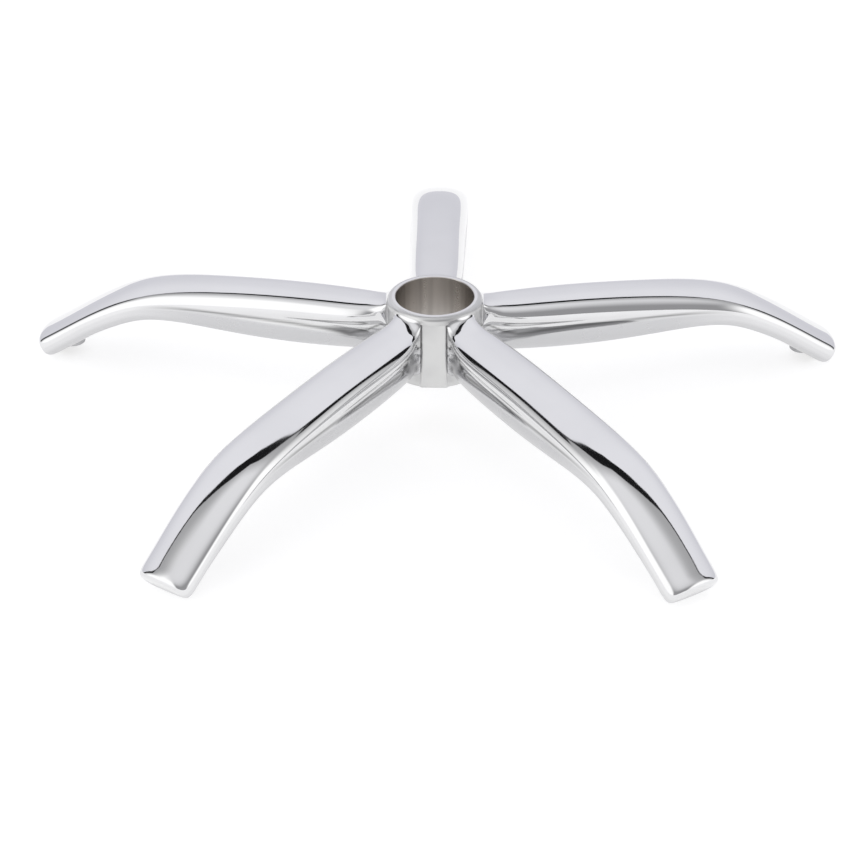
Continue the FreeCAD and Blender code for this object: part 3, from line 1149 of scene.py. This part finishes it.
# The bore's clouding, stretched upright, paints streaks of highlight and shade into its colour
BORE = MetalFinish(
    name="machined_bore",
    color=(0.62, 0.59, 0.56),
    dull_and_shade_color=(0.30, 0.28, 0.265),
    roughness=(0.26, 0.36),
    grain_size=500.0,
    grain_height=0.12,
    scratch_height=0.1,
    cloud_size=85.0,
    cloud_stretch=(1.0, 1.0, 0.03),
    ring_height=0.02,
)
SATIN = MetalFinish(
    name="satin_barrel",
    color=(0.69, 0.69, 0.685),
    dull_and_shade_color=(0.61, 0.61, 0.61),
    roughness=(0.30, 0.42),
    grain_size=700.0,
    grain_height=0.35,
    scratch_height=0.1,
    cloud_size=40.0,
)


@dataclass(frozen=True)
class SurroundingLight:
    """Soft light by direction: a pale lilac backdrop, a dark gap above it, a ceiling and lamps."""

    backdrop_low: Color = (0.76, 0.76, 0.815)
    backdrop_high: Color = (0.93, 0.93, 0.975)
    backdrop_rise: Range = (0.1, 0.75)
    # The backdrop's upper edge runs over the object and falls off to both sides
    edge_back: float = 0.31
    edge_fall: float = -0.22
    low_side: float = 0.8
    low_side_lift: float = 0.9
    # The gap looks widest overhead and again low at both sides: span to the side, half widths
    gap_overhead: tuple[float, float, float, float] = (0.18, 0.64, 0.10, 0.013)
    gap_beside: tuple[float, float, float, float] = (0.70, 0.88, 0.013, 0.085)
    gap_color: Color = (0.012, 0.012, 0.013)
    gap_blur: Range = (-0.006, 0.006)
    dim_color: Color = (0.46, 0.46, 0.47)
    dim_span: Range = (0.04, 0.36)
    ceiling_low: Color = (0.36, 0.36, 0.37)
    ceiling_high: Color = (0.90, 0.90, 0.92)
    ceiling_rise: Range = (0.45, 0.97)
    lamp_color: Color = (1.3, 1.3, 1.3)
    right_lamp: Range = (0.70, 0.86)
    left_lamp: Range = (0.30, 0.55)
    lamp_rise: Range = (0.70, 0.90)

    def build(self) -> None:
        """Make the world's nodes."""
        world = bpy.data.worlds.new("studio_light")
        bpy.context.scene.world = world
        world.use_nodes = True
        world.node_tree.nodes.clear()
        kit = NodeKit(world.node_tree)
        split = kit.add("ShaderNodeSeparateXYZ")
        kit.put(split, Vector=kit.add("ShaderNodeTexCoord").outputs["Generated"])
        side, back, rise = split.outputs
        wide = kit.math("ABSOLUTE", side)
        far_side = kit.math("MAXIMUM", kit.math("SUBTRACT", wide, self.low_side), 0.0)
        edge = kit.math("MULTIPLY_ADD", wide, self.edge_fall, self.edge_back)
        edge = kit.math("MULTIPLY_ADD", far_side, self.low_side_lift, edge)
        over = kit.math("SUBTRACT", edge, back)
        height = kit.remap(rise, *self.backdrop_rise)
        lilac = kit.blend(height, self.backdrop_low, self.backdrop_high)
        height = kit.remap(rise, *self.ceiling_rise)
        ceiling = kit.blend(height, self.ceiling_low, self.ceiling_high)
        lamps = kit.math(
            "MAXIMUM",
            kit.remap(side, *self.right_lamp),
            kit.remap(kit.math("MULTIPLY", side, -1.0), *self.left_lamp),
        )
        lamps = kit.math("MULTIPLY", lamps, kit.remap(rise, *self.lamp_rise, 1.0, 0.0))
        lit = kit.blend(lamps, ceiling, self.lamp_color)
        beyond = kit.blend(kit.remap(over, *self.dim_span), self.dim_color, lit)
        gap = kit.math(
            "MAXIMUM", kit.remap(wide, *self.gap_overhead), kit.remap(wide, *self.gap_beside)
        )
        past_gap = kit.remap(kit.math("SUBTRACT", over, gap), *self.gap_blur)
        before_gap = kit.remap(kit.math("ADD", over, gap), *self.gap_blur)
        upper = kit.blend(past_gap, self.gap_color, beyond)
        shader = kit.add("ShaderNodeBackground")
        kit.put(shader, Color=kit.blend(before_gap, lilac, upper), Strength=1.0)
        kit.put(kit.add("ShaderNodeOutputWorld"), Surface=shader.outputs[0])


@dataclass
class Studio:
    """Camera, floor and surrounding light."""

    light: SurroundingLight
    camera_distance: float = 2401.6
    camera_elevation: float = 29.56
    camera_turn: float = 1.0
    target_level: float = -29.7
    focal_pixels: float = 3747.2
    image_pixels: float = 861.0
    target_pixel: tuple[float, float] = (434.7, 348.7)
    floor_size: float = 12000.0
    floor_rise: float = 0.9
    floor_color: Color = (0.5, 0.5, 0.5)
    floor_glow: float = 0.71

    def camera(self) -> None:
        """A long lens at the photograph's viewing angle, with the hub where it lies there."""
        turn = math.radians(self.camera_turn)
        rise = math.radians(self.camera_elevation)
        target = Vector((0.0, 0.0, self.target_level * MM))
        level = math.cos(rise)
        away = Vector((math.sin(turn) * level, -math.cos(turn) * level, math.sin(rise)))
        data = bpy.data.cameras.new("photo_camera")
        data.sensor_fit = "HORIZONTAL"
        data.sensor_width = 36.0
        data.lens = self.focal_pixels / self.image_pixels * data.sensor_width
        data.clip_start = 0.05
        data.clip_end = 60.0
        camera = bpy.data.objects.new("photo_camera", data)
        bpy.context.scene.collection.objects.link(camera)
        camera.location = target + away * self.camera_distance * MM
        right = Vector((math.cos(turn), math.sin(turn), 0.0))
        upward = away.cross(right)
        middle = self.image_pixels / 2
        aside = (self.target_pixel[0] - middle) / self.focal_pixels
        above = (middle - self.target_pixel[1]) / self.focal_pixels
        aim = -away - right * aside - upward * above
        backward = -aim.normalized()
        level_right = Vector((0.0, 0.0, 1.0)).cross(backward).normalized()
        upright = backward.cross(level_right)
        camera.matrix_world = Matrix.Translation(camera.location) @ Matrix(
            (level_right, upright, backward)
        ).transposed().to_4x4()
        bpy.context.scene.camera = camera

    def floor(self) -> None:
        """A plain white floor that glows, so that it keeps only part of the shadows."""
        half = self.floor_size / 2
        level = PLAN.floor + self.floor_rise
        sides = ((-half, -half), (half, -half), (half, half), (-half, half))
        corners = [(x, y, level) for x, y in sides]
        built = new_mesh("studio_floor", np.array(corners), [(0, 1, 2, 3)])
        material = bpy.data.materials.new("white_floor")
        material.use_nodes = True
        material.node_tree.nodes.clear()
        kit = NodeKit(material.node_tree)
        shader = kit.add("ShaderNodeBsdfPrincipled")
        kit.put(shader, Base_Color=self.floor_color, Roughness=0.9, Specular_IOR_Level=0.0)
        kit.put(shader, Emission_Color=(1.0, 1.0, 1.0), Emission_Strength=self.floor_glow)
        kit.put(kit.add("ShaderNodeOutputMaterial"), Surface=shader.outputs[0])
        built.data.materials.append(material)

    def build(self) -> None:
        """Set up the view and the light."""
        self.camera()
        self.floor()
        self.light.build()
        bpy.context.scene.view_settings.view_transform = "Standard"


@dataclass
class StarBase:
    """The whole casting: hub, pads and the arms round it."""

    arm: Arm
    hub: Hub
    first_pad: float = 180.0

    def keep(self, piece: Object) -> None:
        """Tie a finished piece to the casting's body, hide the CAD node and log its faces.

        Args:
            piece: The piece.
        """
        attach(piece, BODY)
        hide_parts(NODE)
        log.info("%s: %d faces", piece.name, len(piece.data.polygons))

    def spread(self, piece: Object, name: str, start: float) -> None:
        """Repeat a piece round the hub axis.

        Args:
            piece: The piece as made, which is deleted.
            name: Name that gets a number for each copy.
            start: Turn of the first copy in degrees.
        """
        for number in range(PLAN.arm_count):
            turn = math.radians(start + 360.0 / PLAN.arm_count * number)
            copy = bpy.data.objects.new("%s_%d" % (name, number + 1), piece.data.copy())
            copy.data.transform(Matrix.Rotation(turn, 4, "Z"))
            bpy.context.scene.collection.objects.link(copy)
            self.keep(copy)
        bpy.data.objects.remove(piece)

    def build(self) -> None:
        """Make every piece of the casting."""
        skin, ribs = self.arm.build()
        self.spread(skin, "arm_skin", 0.0)
        self.spread(ribs, "arm_ribs", 0.0)
        self.keep(self.hub.turned())
        self.spread(self.hub.pad(), "hub_pad", self.first_pad)


def main() -> None:
    """Build the studio and the casting."""
    logging.basicConfig(level=logging.INFO)
    Studio(SurroundingLight()).build()
    marks = surface_wear_group()
    rings = turning_rings_group()
    finishes = [finish.build(marks, rings) for finish in (POLISH, AS_CAST, BORE, SATIN)]
    StarBase(Arm(finishes=finishes), Hub(finishes=finishes)).build()


if __name__ == "__main__":
    main()
